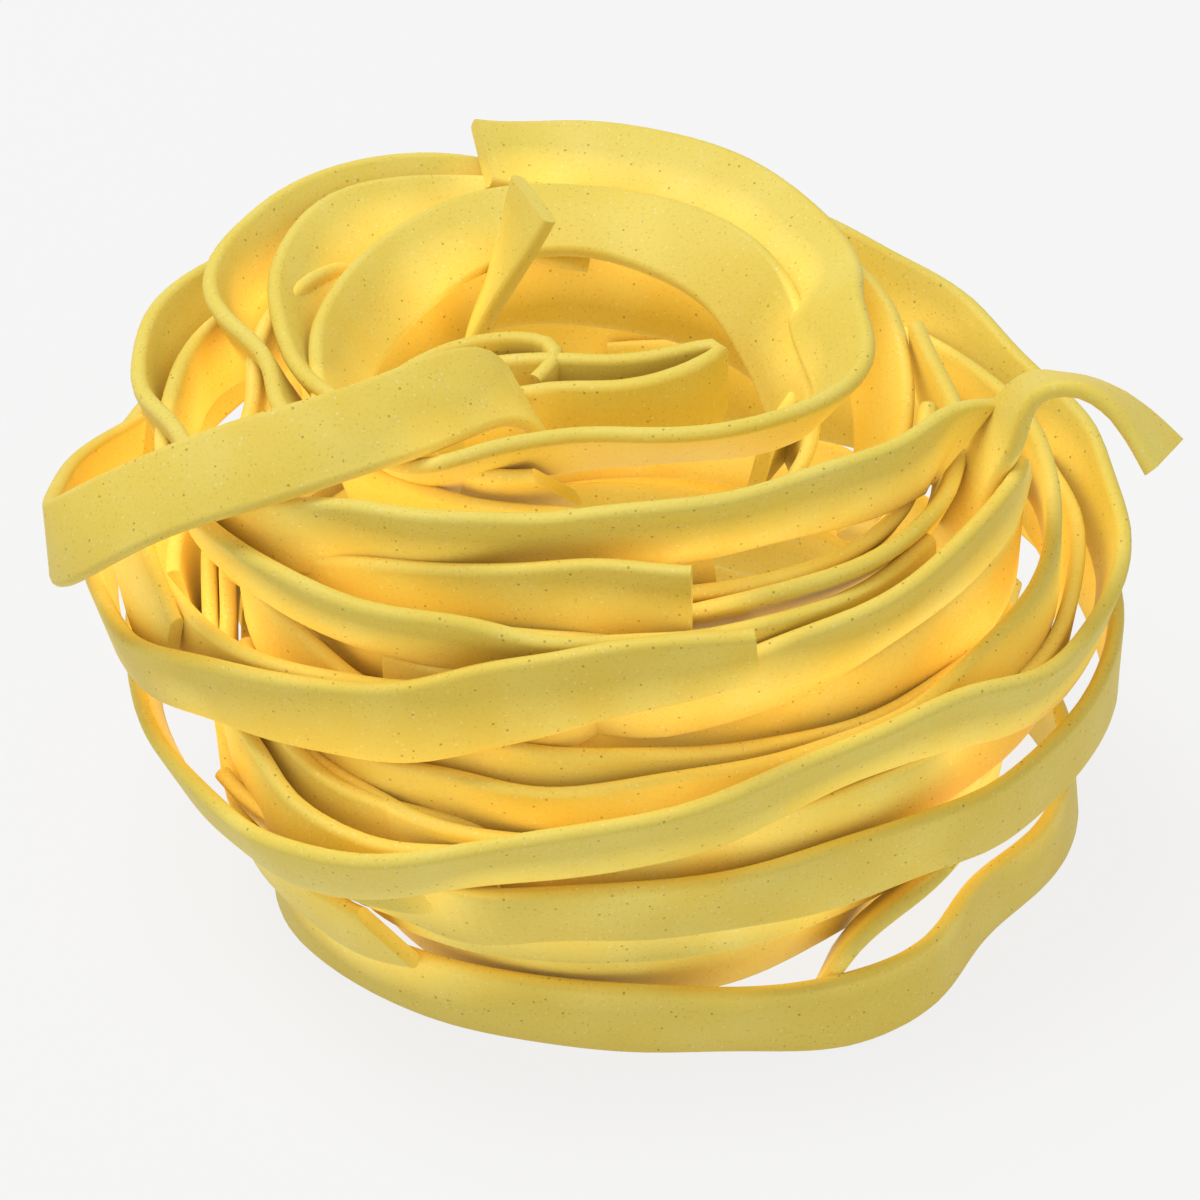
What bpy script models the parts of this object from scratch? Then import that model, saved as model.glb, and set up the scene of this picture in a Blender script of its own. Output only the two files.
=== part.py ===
"""Dry pasta nest: one bundle of flat ribbons wound into an oval nest, in metres, +Z up, standing on Z = 0.

Each ribbon is one strand. A wound strand gives, at equal steps of bearing round the nest, its radius, its
height and how far its face leans out. A loose strand gives its own stations. All lengths here are in
millimetres until MM turns them into metres. Bearing 0 is the front (-Y), 90 the right (+X), 180 the back.
"""

import math

import bmesh
import bpy
from mathutils import Vector

MM = 0.001
RIBBON_WIDTH = 6.0
RIBBON_THICKNESS = 1.1
SEGMENT = 5.2
CENTRE_SHIFT = Vector((0.27, 0.47, 0.0))
FLOOR_BLOCK = (120, 120, 10)
PASTA_COLOUR = (0.80, 0.62, 0.22, 1.0)

# Wound strands: start bearing, step, then rows of radius, height and lean, one entry a step.
WOUND = {
    "great_belt": dict(
        start=-150, step=20,
        radius=(30.5, 31.5, 32.5, 33, 32.5, 32, 32, 30.5, 29, 28.5, 29.5, 32.5, 35, 32, 29.5, 27, 25.5, 26, 27),
        height=(20, 17.5, 16, 15, 14.5, 15.5, 18.5, 21.5, 22.7, 24.6, 24, 21.6, 22.8, 26.5, 29.5, 33, 34, 33, 31),
        lean=(-10, -10, -15, -15, -20, -25, -30, -25, -20, -20, -20, -15, -10, -20, -25, -30, -25, -20, -20)),
    "low_belt": dict(
        start=-72, step=25,
        radius=(27.5, 28, 28.5, 28, 27.9, 31.6, 35.2, 34.5, 31.5, 29.5, 29, 29, 29.5, 30),
        height=(11.5, 13, 15, 15.5, 15, 15.8, 16.4, 17, 18.5, 20, 20, 18, 14, 11),
        lean=(-10, -15, -15, -15, -10, -5, 0, 0, -5, -10, -10, -10, -10, -10)),
    "tucked_belt": dict(
        start=0, step=20,
        radius=(26.8, 26.6, 27.6, 29.5, 31.5, 32, 30),
        height=(17.5, 18, 18.8, 19.5, 20.5, 22, 24),
        lean=(-5, -5, -5, -5, -5, -10, -15)),
    "under_belt": dict(
        start=-60, step=20,
        radius=(25, 26, 26.5, 26.8, 26.8, 26.8, 27.2, 27.5, 28, 27.5, 27, 27, 27, 26.5),
        height=(10.5, 11.3, 11.7, 11.8, 11.8, 11.8, 11.8, 12, 12.5, 13, 13.5, 13.5, 13, 12.5),
        lean=(-10, -10, -10, -10, -10, -10, -10, -10, -10, -10, -10, -10, -10, -10)),
    "floor_ring": dict(
        start=-80, step=20,
        radius=(22, 23, 23.6, 24, 24, 24.2, 25, 26.5, 27, 25.5, 24.5, 24, 24, 24, 24),
        height=(7, 6.5, 6, 5.8, 5.8, 6, 7.2, 9, 9, 8.5, 8, 8, 8, 8, 8),
        lean=(-15, -20, -20, -20, -20, -20, -15, -10, -10, -10, -10, -10, -10, -10, -10)),
    "floor_ribbon": dict(
        start=-75, step=15,
        radius=(24.5, 26.1, 26.3, 25.8, 25.2, 25.5, 26.6, 28.9, 30.4, 29.1, 32, 33.2, 32.5, 30, 29, 28, 27.5, 27, 27),
        height=(2.9,) * 19,
        lean=(-5, -5, -5, -5, -5, -4, -2, 3, 5, 2, 3, 5, 0, 0, -5, -5, -5, -5, -5)),
    "floor_tab": dict(
        start=-75, step=15,
        radius=(27, 27.5, 28, 27),
        height=(12.5, 10.3, 8.3, 7.8),
        lean=(-15, -15, -15, -20)),
    "front_belt": dict(
        start=-170, step=19,
        radius=(26, 29.3, 32.3, 35.8, 35.8, 34.3, 31, 27.5, 24.9, 24.8, 26.2),
        height=(34.5, 31.5, 27.4, 23.5, 22.2, 23, 25, 26.2, 28.9, 32.2, 33.6),
        lean=(-20, -20, -20, -15, -15, -20, -20, -15, -15, -20, -25)),
    "second_belt": dict(
        start=-80, step=20,
        radius=(32.3, 30.3, 26.9, 24, 22.6, 22.3),
        height=(25.2, 24.9, 25.8, 28.4, 29.2, 31.7),
        lean=(-5, -5, -5, -5, -5, -5)),
    "pale_belt": dict(
        start=-100, step=20,
        radius=(29.5, 29, 28, 26, 25, 24, 23.3, 23.3, 23.6),
        height=(33.5, 33, 33, 33.5, 33, 32.2, 30.8, 30.5, 31),
        lean=(-5, -15, -25, -30, -30, -20, -10, -5, 0)),
    "front_filler": dict(
        start=-115, step=20,
        radius=(24, 24.5, 24.5, 23.8, 22.8, 22, 21.5, 21),
        height=(31, 29, 28, 28.5, 29, 29.5, 29, 28.5),
        lean=(-5, -10, -10, -10, -10, -10, -5, 0)),
    "low_filler": dict(
        start=-100, step=20,
        radius=(24.5, 25, 25, 24.5, 24, 23.8, 24, 24.5, 25.5, 26.5, 27),
        height=(22.5, 22, 22, 22.5, 23, 22.5, 21.5, 20.5, 20, 20, 21),
        lean=(0, 0, 0, 0, 0, 0, 0, 0, 0, 0, 0)),
    "plate": dict(
        start=-58, step=18,
        radius=(24.3, 23, 21.5, 20.6, 20.5),
        height=(34, 34, 34.5, 35, 34.5),
        lean=(-5, -10, -15, -15, -15)),
    "plate_end": dict(
        start=-19, step=12,
        radius=(20, 19.3, 19, 19),
        height=(34, 34.5, 34.7, 34.7),
        lean=(-10, -10, -10, -10)),
    "sweep": dict(
        start=-130, step=19,
        radius=(28.8, 32.1, 30.4, 28, 25, 21.4, 18, 17.9, 18.1, 18.9, 21.6, 24),
        height=(33.5, 34.3, 34.4, 35, 35.6, 36.3, 36.7, 37.7, 38, 38, 37.6, 36.6),
        lean=(-30, -28, -22, -12, -8, -10, -18, -20, -18, -12, -5, 5)),
    "upper_belt": dict(
        start=-5, step=17,
        radius=(22.5, 23.4, 24.3, 25.4, 26.8, 27.7),
        height=(28.3, 28.5, 30.2, 31.5, 33, 35.3),
        lean=(-10, -10, -12, -18, -8, 0)),
    "golden_belt": dict(
        start=-40, step=20,
        radius=(23.5, 22.7, 22, 21.9, 23, 25, 26.9, 27, 26, 25.5, 25, 25),
        height=(24, 24.8, 24.5, 24, 24.2, 24.5, 25.2, 25, 24, 22, 21, 20),
        lean=(0, 0, -5, -5, 0, 0, 0, -5, -15, -20, -20, -20)),
    "inner_belt": dict(
        start=-70, step=20,
        radius=(27.3, 26.4, 25.6, 25.8, 26, 26.3, 28.4, 30.5, 30, 28.8, 28.3, 27.5, 27.5, 28, 28),
        height=(20.3, 20.3, 20.8, 21.2, 21.5, 21.8, 22.3, 24.6, 27.8, 27.6, 26.4, 25, 23.5, 22, 21),
        lean=(0, -5, -10, -10, 0, 0, 0, 0, 5, 0, -10, -15, -20, -15, -15)),
    "left_front": dict(
        start=-80, step=15,
        radius=(28.7, 28.5, 27.9, 27.3, 26, 24.8),
        height=(23.6, 20.9, 18.9, 17.3, 16.4, 16),
        lean=(0, 0, 0, 0, 0, 0)),
    "left_low": dict(
        start=-95, step=20,
        radius=(26, 27, 29, 29, 28),
        height=(24.5, 20.5, 17, 16, 15.5),
        lean=(0, 0, -5, 0, 0)),
    "left_inner": dict(
        start=-110, step=15,
        radius=(24, 24.5, 25.5, 26.5, 26.5),
        height=(24, 20, 15, 12.5, 11.5),
        lean=(0, 0, 0, 0, 0)),
    "left_mid": dict(
        start=-105, step=15,
        radius=(24, 24.5, 25.5, 26, 25),
        height=(36, 33.5, 30, 26.5, 24),
        lean=(0, 0, 0, -5, 0)),
    "back_left": dict(
        start=160, step=20,
        radius=(29, 29.5, 29.5, 29, 29, 29.5, 29),
        height=(24, 21, 19, 18, 18.5, 20, 22),
        lean=(-15, -15, -15, -15, -15, -15, -15)),
    "back_low": dict(
        start=110, step=20,
        radius=(31, 30, 28.6, 28, 28.5, 28.5, 29, 29),
        height=(9, 7, 6, 6.5, 8, 9.5, 10, 9),
        lean=(-10, -10, -10, -10, -10, -10, -10, -10)),
    "crown": dict(
        start=-150, step=20, centre=(0, 10),
        radius=(16.6, 20.8, 24.3, 26.6, 23.4, 23.5, 23.4, 18.2, 18.9, 20.3, 20.2, 15.7, 14.2, 13.7, 13.7, 14.3, 15, 15.8,
                16.9),
        height=(36.2, 37.4, 37.4, 36.9, 36.3, 36.8, 36.9, 37.6, 38.3, 38.5, 38.6, 38.8, 38.8, 38.9, 39, 39, 39, 39, 39),
        lean=(-45, -42, -38, -28, -25, -40, -42, -25, -28, -28, -35, -50, -57, -62, -62, -62, -62, -62, -62)),
    "inner_crown": dict(
        start=60, step=20, centre=(-3, 6),
        radius=(17, 16, 14.5, 13.4, 13.2, 13.3, 13.4, 13.6, 13.7, 13.9, 14.6, 16, 17.8, 18.4),
        height=(27, 31.5, 36, 37.6, 37.7, 37.8, 38, 38, 37.6, 37, 36.6, 36.4, 36, 35),
        lean=(0, -10, -30, -50, -60, -65, -65, -62, -55, -48, -42, -36, -22, -10)),
    "left_crown": dict(
        start=170, step=20, centre=(-4, 5),
        radius=(15.8, 16.6, 18.9, 19.7, 18.4, 17.4, 16.4, 15.8, 14.8, 12.4, 11.2),
        height=(36, 36.8, 37.3, 37.3, 37.3, 37, 36.5, 35.8, 35, 34.5, 34),
        lean=(-55, -55, -55, -50, -45, -40, -30, -25, -30, -32, -32)),
    "right_crown": dict(
        start=60, step=20, centre=(0, 5),
        radius=(20, 19.2, 18.8, 18, 17.5, 17.5, 18),
        height=(28.5, 32, 34.3, 35, 35.5, 36, 36.5),
        lean=(-30, -35, -35, -40, -45, -50, -55)),
    "ring": dict(
        start=10, step=20,
        radius=(18.5, 20.5, 22.3, 23, 22.5, 21.5),
        height=(31.2, 32.5, 32.5, 32.5, 33.5, 34.5),
        lean=(-30, -40, -40, -20, -5, 5)),
    "dark_ring": dict(
        start=-10, step=20,
        radius=(17, 17.5, 18, 19.5, 20.5, 20.5),
        height=(30.5, 31, 31.5, 31.5, 32, 33.5),
        lean=(0, -20, -40, -40, -25, -5)),
    "hollow_wall": dict(
        start=140, step=20, centre=(-2, 6),
        radius=(13, 14, 14.5, 15, 15.5, 15.5, 15.5, 15.5),
        height=(32, 32, 32, 32, 32, 32, 32, 32),
        lean=(-20, -20, -20, -20, -20, -20, -20, -20)),
}

# Loose strands: stations of x, y, z, then the bearing and slope of the line across the ribbon.
LOOSE = {
    "sash": (
        (-5.0, -2.8, 36.5, 210, 15), (-5.6, -3.2, 38.8, 208, 22), (-7.9, -5.0, 41.0, 200, 30),
        (-13.5, -9.8, 41.6, 190, 32), (-21.3, -13.6, 41.2, 185, 35), (-28.0, -14.0, 38.9, 182, 42),
        (-34.0, -12.4, 34.5, 180, 52), (-36.9, -10.3, 31.2, 180, 72), (-37.4, -6.0, 29.3, 180, 88),
        (-37.2, -1.5, 28.0, 180, 88), (-36.6, 3.0, 26.5, 180, 88), (-34.0, 9.5, 24.5, 180, 88)),
    "spike": (
        (-10.5, 13.3, 29.0, 168, 0), (-9.8, 13.1, 32.0, 170, 0), (-8.6, 12.8, 35.0, 175, 2),
        (-7.6, 12.4, 38.0, 183, 8), (-6.4, 12.2, 41.0, 190, 16), (-5.3, 12.6, 43.9, 195, 25)),
    "curl": (
        (-8.0, 2.5, 34.5, 180, 90), (-3.2, 1.8, 35.5, 180, 90), (-0.5, 1.5, 35.5, 180, 90),
        (3.0, 1.6, 35.8, 180, 90), (6.2, 2.6, 36.0, 180, 90), (7.8, 3.6, 36.2, 180, 90),
        (8.4, 3.0, 36.2, 180, 90), (7.6, 1.2, 36.0, 180, 90), (5.4, 0.0, 35.7, 180, 90),
        (2.9, -1.3, 35.5, 180, 90), (-0.5, -1.5, 35.3, 180, 90), (-4.8, -1.0, 35.0, 180, 90),
        (-10.0, -1.5, 34.0, 180, 90)),
    "hairpin": (
        (-17.0, -2.0, 34.5, 180, 90), (-14.2, 0.5, 35.0, 180, 90), (-11.6, 3.4, 35.0, 180, 90),
        (-8.8, 4.4, 35.5, 180, 90), (-6.2, 4.7, 35.5, 180, 90), (-4.0, 4.0, 35.5, 180, 90),
        (-3.3, 2.0, 35.5, 180, 90), (-4.8, 0.4, 35.0, 180, 90)),
    "wave": (
        (22.5, -6.1, 27.0, 205, 0), (22.8, -6.7, 31.0, 205, 0), (23.1, -6.5, 34.0, 203, -4),
        (23.8, -6.2, 37.0, 198, -12), (25.1, -6.6, 40.0, 190, -22), (27.0, -6.8, 41.9, 183, -29),
        (29.1, -6.9, 42.5, 179, -30), (31.0, -7.3, 42.4, 174, -26), (32.7, -7.9, 41.6, 168, -20),
        (34.3, -9.0, 40.2, 162, -15), (35.8, -10.2, 38.5, 157, -12)),
    "tab": (
        (-33.4, -10.0, 29.5, 130, 18), (-32.9, -9.2, 26.0, 125, 16), (-31.5, -8.8, 24.0, 118, 14),
        (-30.6, -8.5, 22.0, 112, 12)),
    "stray": (
        (12.5, -19.0, 3.3, 0, 38), (14.7, -21.2, 4.0, 0, 38), (15.9, -21.6, 6.2, 0, 38),
        (17.2, -21.2, 8.2, 0, 38), (20.0, -20.2, 10.2, 5, 40), (23.5, -17.5, 11.5, 20, 50)),
}


def clear_scene():
    for obj in list(bpy.data.objects):
        bpy.data.objects.remove(obj)


def new_collection(name):
    collection = bpy.data.collections.new(name)
    bpy.context.scene.collection.children.link(collection)
    return collection


def through(rows, samples):
    """A smooth curve through rows of numbers, with so many samples between each two."""
    rows = [Vector(row) for row in rows]
    before = [2 * rows[0] - rows[1]] + rows[:-1]
    after = rows[1:] + [2 * rows[-1] - rows[-2]]
    found = []
    for i in range(len(rows) - 1):
        p0, p1, p2, p3 = before[i], rows[i], rows[i + 1], after[i + 1]
        for k in range(samples):
            u = k / samples
            found.append(0.5 * (2 * p1 + (p2 - p0) * u + (2 * p0 - 5 * p1 + 4 * p2 - p3) * u * u
                                + (3 * p1 - p0 - 3 * p2 + p3) * u ** 3))
    return found + [rows[-1]]


def wound_stations(strand, samples):
    """Centre points and lines across the ribbon, round the strand's own centre."""
    middle = Vector((*strand.get("centre", (0, 0)), 0))
    bearings = [strand["start"] + strand["step"] * i for i in range(len(strand["radius"]))]
    rows = zip(bearings, strand["radius"], strand["height"], strand["lean"])
    stations = []
    for bearing, radius, height, lean in through([(*row,) for row in rows], samples):
        outward = Vector((math.sin(math.radians(bearing)), -math.cos(math.radians(bearing)), 0))
        across = Vector((0, 0, math.cos(math.radians(lean)))) - math.sin(math.radians(lean)) * outward
        stations.append((middle + radius * outward + Vector((0, 0, height)), across))
    return stations


def loose_stations(rows, samples):
    points = through([row[:3] for row in rows], samples)
    lines = []
    for row in rows:
        bearing, slope = math.radians(row[3]), math.radians(row[4])
        lines.append((math.cos(slope) * math.sin(bearing), -math.cos(slope) * math.cos(bearing), math.sin(slope)))
    return list(zip(points, through(lines, samples)))


def ribbon_object(name, stations, collection):
    """A closed ribbon of rectangular section along the stations."""
    half_width, half_thickness = RIBBON_WIDTH / 2, RIBBON_THICKNESS / 2
    bm = bmesh.new()
    rings = []
    for i, (point, across) in enumerate(stations):
        ahead = stations[min(i + 1, len(stations) - 1)][0] - stations[max(i - 1, 0)][0]
        ahead.normalize()
        across = (across - ahead * across.dot(ahead)).normalized()
        outward = ahead.cross(across)
        ring = []
        for wide, thick in ((1, 1), (1, -1), (-1, -1), (-1, 1)):
            corner = point + wide * half_width * across + thick * half_thickness * outward
            ring.append(bm.verts.new((corner + CENTRE_SHIFT) * MM))
        rings.append(ring)
    for ring, following in zip(rings, rings[1:]):
        for k in range(4):
            bm.faces.new((ring[k], ring[k - 1], following[k - 1], following[k]))
    bm.faces.new(rings[0])
    bm.faces.new(reversed(rings[-1]))
    bmesh.ops.recalc_face_normals(bm, faces=bm.faces)
    mesh = bpy.data.meshes.new(name)
    bm.to_mesh(mesh)
    bm.free()
    obj = bpy.data.objects.new(name, mesh)
    collection.objects.link(obj)
    return obj


def samples_for(spacing):
    return max(1, round(spacing / SEGMENT))


def strand_objects(collection):
    made = []
    for name, strand in WOUND.items():
        spacing = math.radians(strand["step"]) * sum(strand["radius"]) / len(strand["radius"])
        made.append(ribbon_object(name, wound_stations(strand, samples_for(spacing)), collection))
    for name, rows in LOOSE.items():
        length = sum((Vector(a[:3]) - Vector(b[:3])).length for a, b in zip(rows, rows[1:]))
        made.append(ribbon_object(name, loose_stations(rows, samples_for(length / (len(rows) - 1))), collection))
    return made


def islands(bm):
    """The separate shells of a mesh, each a set of faces."""
    left = set(bm.faces)
    found = []
    while left:
        stack = [left.pop()]
        shell = set(stack)
        while stack:
            for edge in stack.pop().edges:
                for face in edge.link_faces:
                    if face in left:
                        left.discard(face)
                        shell.add(face)
                        stack.append(face)
        found.append(shell)
    return found


def keep_largest_shell(mesh):
    """Fills every hollow that the fusing sealed and drops loose scraps: all shells but the largest go."""
    bm = bmesh.new()
    bm.from_mesh(mesh)
    bmesh.ops.triangulate(bm, faces=bm.faces)
    shells = sorted(islands(bm), key=len)
    print("shells:", [len(shell) for shell in shells])
    for shell in shells[:-1]:
        bmesh.ops.delete(bm, geom=list(shell), context="FACES")
    bmesh.ops.delete(bm, geom=[v for v in bm.verts if not v.link_faces], context="VERTS")
    bm.to_mesh(mesh)
    bm.free()


def pasta_material():
    material = bpy.data.materials.new("dry_egg_pasta")
    material.use_nodes = True
    shader = material.node_tree.nodes["Principled BSDF"]
    shader.inputs["Base Color"].default_value = PASTA_COLOUR
    shader.inputs["Roughness"].default_value = 0.62
    shader.inputs["Metallic"].default_value = 0.0
    return material


def floor_cutter(collection):
    """A block from Z = 0 down, so that what rests on the table is flat."""
    block = bmesh.new()
    bmesh.ops.create_cube(block, size=1)
    bmesh.ops.scale(block, vec=Vector(FLOOR_BLOCK) * MM, verts=block.verts)
    bmesh.ops.translate(block, vec=(0, 0, -FLOOR_BLOCK[2] * MM / 2), verts=block.verts)
    mesh = bpy.data.meshes.new("floor_cutter")
    block.to_mesh(mesh)
    block.free()
    cutter = bpy.data.objects.new("floor_cutter", mesh)
    cutter.hide_render = True
    cutter.display_type = "WIRE"
    collection.objects.link(cutter)
    return cutter


def apply_boolean(obj, operation, **settings):
    modifier = obj.modifiers.new(operation.lower(), "BOOLEAN")
    modifier.operation = operation
    modifier.solver = "MANIFOLD"
    for name, value in settings.items():
        setattr(modifier, name, value)
    bpy.context.view_layer.objects.active = obj
    bpy.ops.object.modifier_apply(modifier=modifier.name)


def main():
    clear_scene()
    home = new_collection("dry_pasta_nest")
    strands = new_collection("strands")
    cutters = new_collection("cutters")
    nest = strand_objects(strands)[0]
    strands.objects.unlink(nest)
    home.objects.link(nest)
    nest.name = "pasta_nest"
    apply_boolean(nest, "UNION", operand_type="COLLECTION", collection=strands)
    for obj in list(strands.objects):
        bpy.data.objects.remove(obj)
    bpy.data.collections.remove(strands)
    apply_boolean(nest, "DIFFERENCE", operand_type="OBJECT", object=floor_cutter(cutters))
    keep_largest_shell(nest.data)
    nest.data.materials.clear()
    nest.data.materials.append(pasta_material())


main()
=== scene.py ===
"""Looks of the dry pasta nest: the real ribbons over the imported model, their finish, the table and the light.

Lengths are in millimetres until MM turns them into metres. Bearing 0 is the front (-Y), 90 the right (+X).
"""
import math
import random

import bpy
import numpy as np
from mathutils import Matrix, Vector
from mathutils.bvhtree import BVHTree
from mathutils.kdtree import KDTree


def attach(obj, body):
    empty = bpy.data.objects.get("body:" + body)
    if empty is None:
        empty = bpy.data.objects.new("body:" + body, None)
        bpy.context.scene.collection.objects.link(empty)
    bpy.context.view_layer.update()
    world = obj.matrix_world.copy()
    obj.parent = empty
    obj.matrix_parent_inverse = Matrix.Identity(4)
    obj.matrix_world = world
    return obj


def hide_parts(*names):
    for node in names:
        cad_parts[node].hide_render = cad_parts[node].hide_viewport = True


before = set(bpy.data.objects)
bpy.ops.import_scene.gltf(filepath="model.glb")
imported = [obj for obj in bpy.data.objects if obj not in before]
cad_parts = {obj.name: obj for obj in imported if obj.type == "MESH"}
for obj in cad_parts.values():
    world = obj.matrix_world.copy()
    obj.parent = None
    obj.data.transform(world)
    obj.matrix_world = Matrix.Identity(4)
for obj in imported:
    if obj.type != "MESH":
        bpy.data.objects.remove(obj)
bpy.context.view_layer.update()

MM = 0.001

# The ribbon, and how finely it is made
RIBBON_WIDTH = 6.0
RIBBON_THICKNESS = 1.15
EDGE_ROUNDING = 0.5
EDGE_STEPS = 3
SHARP_ANGLE = 50
CURVE_SAMPLES = 12
ROUTE_SPACING = 1.5
MESH_SPACING = 0.9

# Where the rows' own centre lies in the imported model's frame
CENTRE_SHIFT = Vector((0.27, 0.47, 0.0))

# Unevenness of the dried dough: the middle value, then the height and the length (over 2 pi) of each wave
TWIST = (0.0, ((0.10, 4.1), (0.08, 2.3)))
SWELL = (1.0, ((0.02, 6.7), (0.012, 1.9)))
CUP = (0.08, ((0.10, 9.0),))
CUP_LEVEL = 0.4
SEED = 7

# Easing apart of ribbons that touch: rounds, how often neighbours are looked for again, the share of a push
# that is taken, and the pull back to the route
EASE_ROUNDS = 48
LOOK_AGAIN = 12
PUSH_SHARE = 0.8
PULL_BACK = 0.015

# What counts as touching: air between faces and at an edge, the places across a half width that are tried,
# how near along the ribbon, the least weight of a push, how far past a width neighbours are looked for, and
# how many points of a ribbon's own next stretch are left out
FACE_AIR = 0.05
EDGE_AIR = 0.3
TRIED_ACROSS = (-0.9, -0.45, 0, 0.45, 0.9)
TOUCH_LENGTH = 0.9
LEAST_WEIGHT = 0.25
REACH_PAST_WIDTH = 1.0
OWN_STRETCH = 8

# Colours in linear light
LEMON = (0.88, 0.70, 0.12, 1)
LEMON_DEEP = (0.88, 0.66, 0.10, 1)
# Painted golden light: the colour of light bounced between and passed through the ribbons, laid on more deeply
# inside the winding
PAINTED_GOLDEN_LIGHT = (0.95, 0.64, 0.10, 1)
PALE = (0.92, 0.78, 0.20, 1)
OCHRE = (0.76, 0.54, 0.07, 1)
# Painted shade: dark brown laid into narrow gaps between ribbons where contact shadow falls
PAINTED_GAP_SHADE = (0.46, 0.29, 0.045, 1)
TABLE_GREY = (0.10, 0.10, 0.10, 1)
WHITE = (1, 1, 1, 1)

# Painted glow in place of light that comes through the ribbons round a spot, and painted shade in narrow gaps:
# how far away they count, rays cast from how far above the skin, strength of the painted glow, and the width of
# a narrow gap in metres
BURIED_REACH = 14.0
BURIED_RAYS = 20
RAY_START = 0.2
GOLDEN_ANGLE = 137.5
PAINTED_GLOW = 0.62
GAP_REACH = 0.0028

# Ranges of the closed-off share and of the open air in a gap, with the values they turn into where not 0 to 1:
# for the painted golden light inside, the painted glow at the deepest, the painted gap shade and the painted
# glow in a gap
PAINTED_LIGHT_INSIDE = (0.35, 0.95)
DEEPEST = (0.85, 1.0, 1.0, 0.55)
PAINTED_GAP_SHADE_RANGE = (0.10, 0.55, 0.6, 0.0)
GAP_LIGHT = (0.15, 0.85)

# Mottle and grain of the colour: noise scale and detail, where the tint begins and is full, strength, colour
MOTTLES = (
    (190, 1, 0.35, 0.70, 0.45, PALE),
    (4200, 2, 0.52, 0.75, 0.40, OCHRE),
)

# Surface: roughness and shine, then its grain as noise scale, detail and roughness, strength, depth in metres
ROUGHNESS = 0.5
SHINE = 0.22
GRAIN = (6000, 2, 0.6)
GRAIN_STRENGTH = 0.35
GRAIN_DEPTH = 0.00005

# Flecks: size of a cell in metres, spot size and share of cells 0-1, strength, colour
FLECKS = (
    (0.00055, 0.16, 0.50, 0.38, (0.97, 0.90, 0.52, 1)),
    (0.00045, 0.16, 0.50, 0.40, (0.50, 0.34, 0.07, 1)),
    (0.00085, 0.115, 0.50, 0.55, (0.27, 0.18, 0.04, 1)),
)

# Lamps, in metres: name, place, size, watts; and the spot they point at
LAMPS = (
    ("key", (-0.30, 0.10, 0.90), 0.5, 5.2),
    ("fill", (0.5, -0.7, 0.5), 0.6, 0.5),
)
LAMP_AIM = (0, 0, 0.02)

# The table's size in metres, its own brightness as the camera sees it and as it lights the pasta from below,
# and the sky's brightness
TABLE_SIZE = 6
TABLE_SEEN = 0.82
TABLE_BOUNCE = 0.70
SKY = 0.44

# The photograph's view: degrees down, the spot it is aimed at, how far off, the lens, and in metres how near
# it still sees
VIEW_SLOPE = 38
VIEW_AIM = Vector((-0.8, 0, 18.8))
VIEW_DISTANCE = 280
FOCAL_LENGTH = 120
SENSOR_WIDTH = 36
NEAREST_SEEN = 0.01

# Strands of the top coils; the other wound ones are the side windings
TOP_COILS = ("crown", "inner_crown", "left_crown", "right_crown", "ring", "dark_ring", "hollow_wall")

# Ends cut on the slant, at a strand's start and end: half of how far one edge stands back, + for the lower
SLANTS = {
    "left_crown": (0, -2.0),
    "sweep": (0, 2.0),
    "upper_belt": (0, -1.5),
    "tab": (0, -1.4),
    "floor_tab": (0, -1.3),
}

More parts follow.
